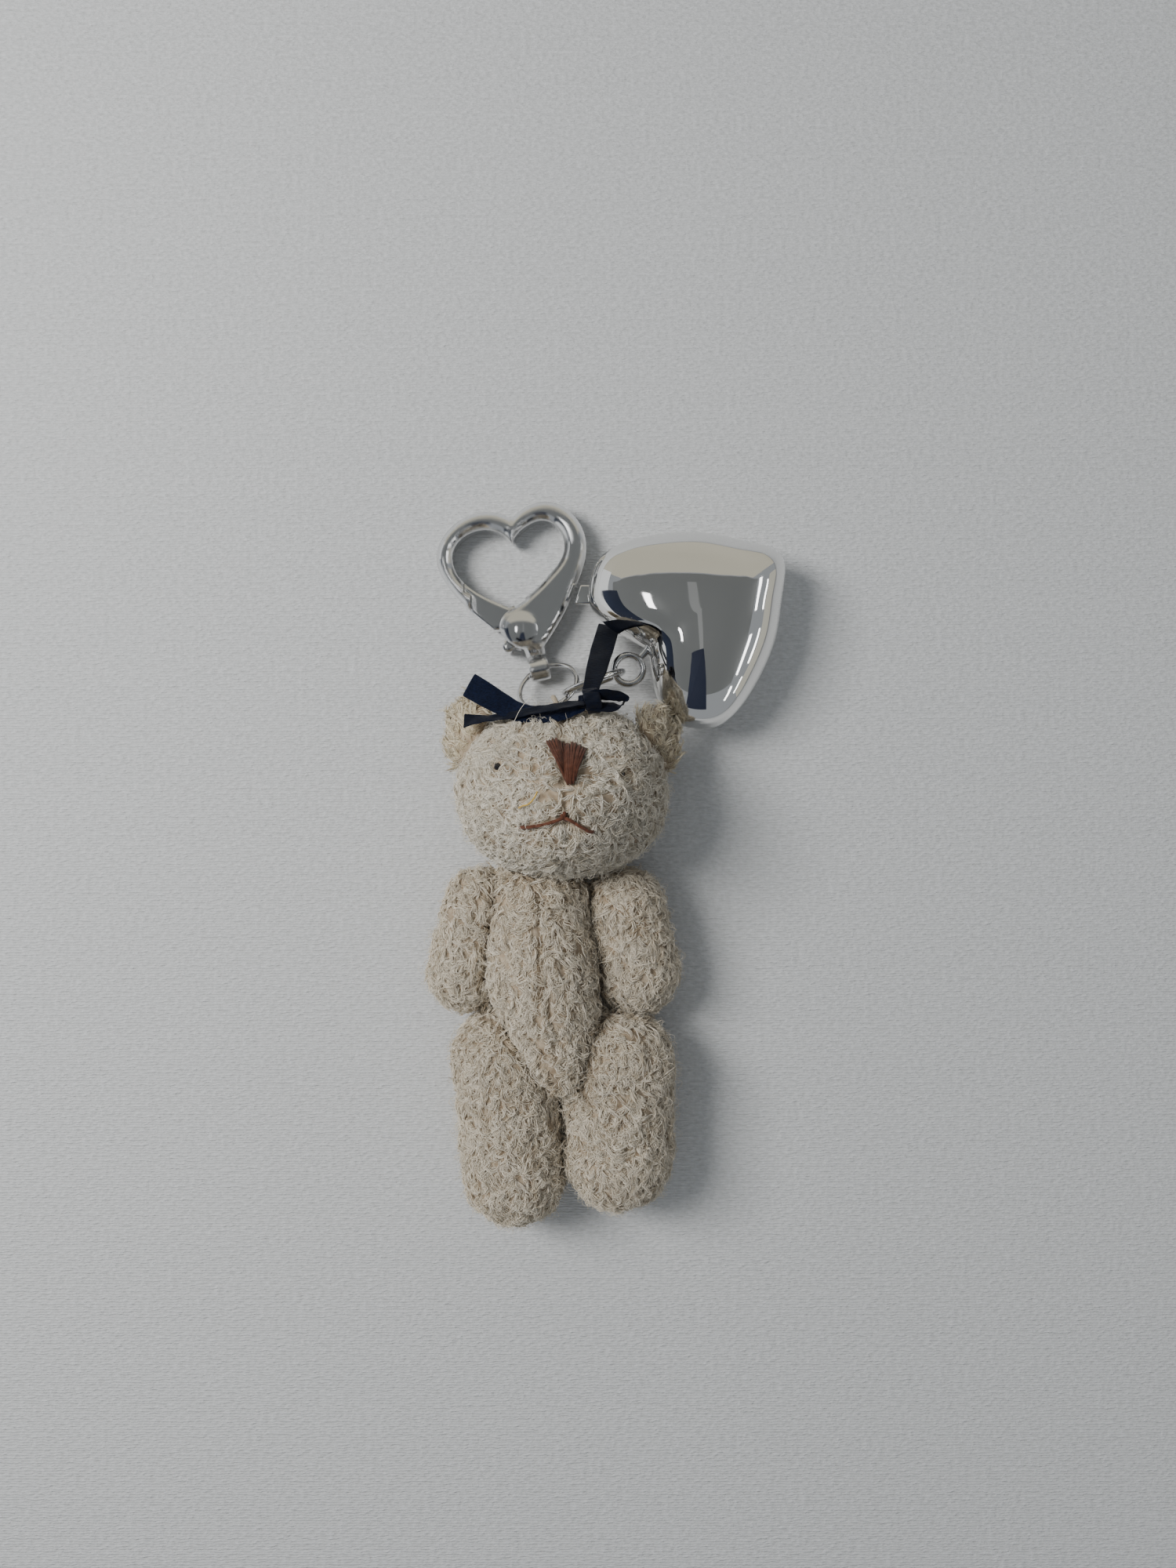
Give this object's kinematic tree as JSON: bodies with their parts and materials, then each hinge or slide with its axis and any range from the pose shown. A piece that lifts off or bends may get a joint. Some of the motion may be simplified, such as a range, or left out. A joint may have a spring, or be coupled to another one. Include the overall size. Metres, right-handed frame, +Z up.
{
  "type": "plush keychain",
  "caption": "Small jointed plush bear lying on its back, with a satin ribbon bow, a puffed heart pendant and a heart-shaped swivel clasp on thin wire rings.",
  "frame": {"origin": "centre of the keychain's bounding box in plan, on the table it lies on", "axes": "+Z up from the table, out of the bear's face; +Y from the bear's feet towards its crown and the clasp; +X to the right, towards the pendant"},
  "size_m": [0.0545, 0.1108, 0.0278],
  "materials": {
    "plush_head": "short brushed pile",
    "plush_body": "curly looped pile",
    "stuffing": "polyester fibre fill",
    "sewing_thread": "twisted thread",
    "hanging_cord": "braided cord",
    "eye_bead": "polished",
    "nose_thread": "satin stitched embroidery thread",
    "mouth_thread": "embroidery thread",
    "clasp_metal": "polished, lightly scuffed",
    "gate_metal": "polished, lightly scuffed",
    "ring_wire": "bright drawn wire",
    "spring_steel": "bright",
    "pendant_plating": "mirror plating on moulded plastic, fine scuffs",
    "ribbon_satin": "satin"
  },
  "bodies": {
    "torso": {"torso_cover": "plush_body", "torso_stuffing": "stuffing", "neck_thread": "sewing_thread", "arm_left_thread": "sewing_thread", "arm_right_thread": "sewing_thread", "leg_left_thread": "sewing_thread", "leg_right_thread": "sewing_thread"},
    "head": {"head_cover": "plush_head", "head_stuffing": "stuffing", "ear_left": "plush_head", "ear_right": "plush_head", "eye_left": "eye_bead", "eye_right": "eye_bead", "nose_stitching": "nose_thread", "mouth_stitching": "mouth_thread", "hanging_loop": "hanging_cord", "ribbon_bow": "ribbon_satin", "ribbon_loop": "ribbon_satin"},
    "arm_left": {"arm_left_cover": "plush_body", "arm_left_stuffing": "stuffing"},
    "arm_right": {"arm_right_cover": "plush_body", "arm_right_stuffing": "stuffing"},
    "leg_left": {"leg_left_cover": "plush_body", "leg_left_stuffing": "stuffing"},
    "leg_right": {"leg_right_cover": "plush_body", "leg_right_stuffing": "stuffing"},
    "main_ring": {"main_ring": "ring_wire"},
    "swivel_eye": {"swivel_eye": "clasp_metal"},
    "clasp": {"clasp_body": "clasp_metal", "gate_pin": "spring_steel", "gate_spring": "spring_steel"},
    "gate": {"clasp_gate": "gate_metal"},
    "link": {"link_ring": "ring_wire"},
    "pendant": {"pendant_front_shell": "pendant_plating", "pendant_back_shell": "pendant_plating", "pendant_eye_pin": "ring_wire"}
  },
  "joints": [
    {"name": "head_turn", "type": "hinge", "parent": "torso", "child": "head", "pos_m": [-0.00676, -0.00276, 0.0126], "axis": [0, 1, 0], "range_deg": [-35, 35]},
    {"name": "arm_left_turn", "type": "hinge", "parent": "torso", "child": "arm_left", "pos_m": [-0.01906, -0.00696, 0.0074], "axis": [-0.9993, 0.0366, 0], "range_deg": [-30, 90]},
    {"name": "arm_right_turn", "type": "hinge", "parent": "torso", "child": "arm_right", "pos_m": [0.00264, -0.00746, 0.0076], "axis": [-0.9905, -0.1374, 0], "range_deg": [-30, 90]},
    {"name": "leg_left_turn", "type": "hinge", "parent": "torso", "child": "leg_left", "pos_m": [-0.01616, -0.03076, 0.0074], "axis": [-0.8669, -0.4985, 0], "range_deg": [-10, 85]},
    {"name": "leg_right_turn", "type": "hinge", "parent": "torso", "child": "leg_right", "pos_m": [0.00164, -0.03156, 0.008], "axis": [-0.9128, 0.4083, 0], "range_deg": [-10, 85]},
    {"name": "ring_swing", "type": "hinge", "parent": "head", "child": "main_ring", "pos_m": [-0.00766, 0.02328, 0.0089], "axis": [1, 0, 0], "range_deg": [-3, 20], "deforming": ["ribbon_loop"]},
    {"name": "eye_swing", "type": "hinge", "parent": "main_ring", "child": "swivel_eye", "pos_m": [-0.0106, 0.02929, 0.0023], "axis": [0.9755, 0.2198, 0], "range_deg": [-10, 65]},
    {"name": "clasp_turn", "type": "hinge", "parent": "swivel_eye", "child": "clasp", "pos_m": [-0.01106, 0.03134, 0.0023], "axis": [-0.2198, 0.9755, 0], "continuous": true},
    {"name": "gate_open", "type": "hinge", "parent": "clasp", "child": "gate", "pos_m": [-0.01336, 0.03544, 0.0023], "axis": [0, 0, -1], "range_deg": [0, 26], "stiffness_Nm_per_rad": 0.005, "springref_deg": -20.05},
    {"name": "link_swing", "type": "hinge", "parent": "main_ring", "child": "link", "pos_m": [-0.0051, 0.02561, 0.00793], "axis": [-0.4149, -0.7625, 0.4965], "range_deg": [-8, 8]},
    {"name": "pendant_swing", "type": "hinge", "parent": "link", "child": "pendant", "pos_m": [0.00118, 0.02798, 0.0075], "axis": [0.3437, -0.9391, 0], "range_deg": [0, 15], "deforming": ["ribbon_loop"]}
  ]
}
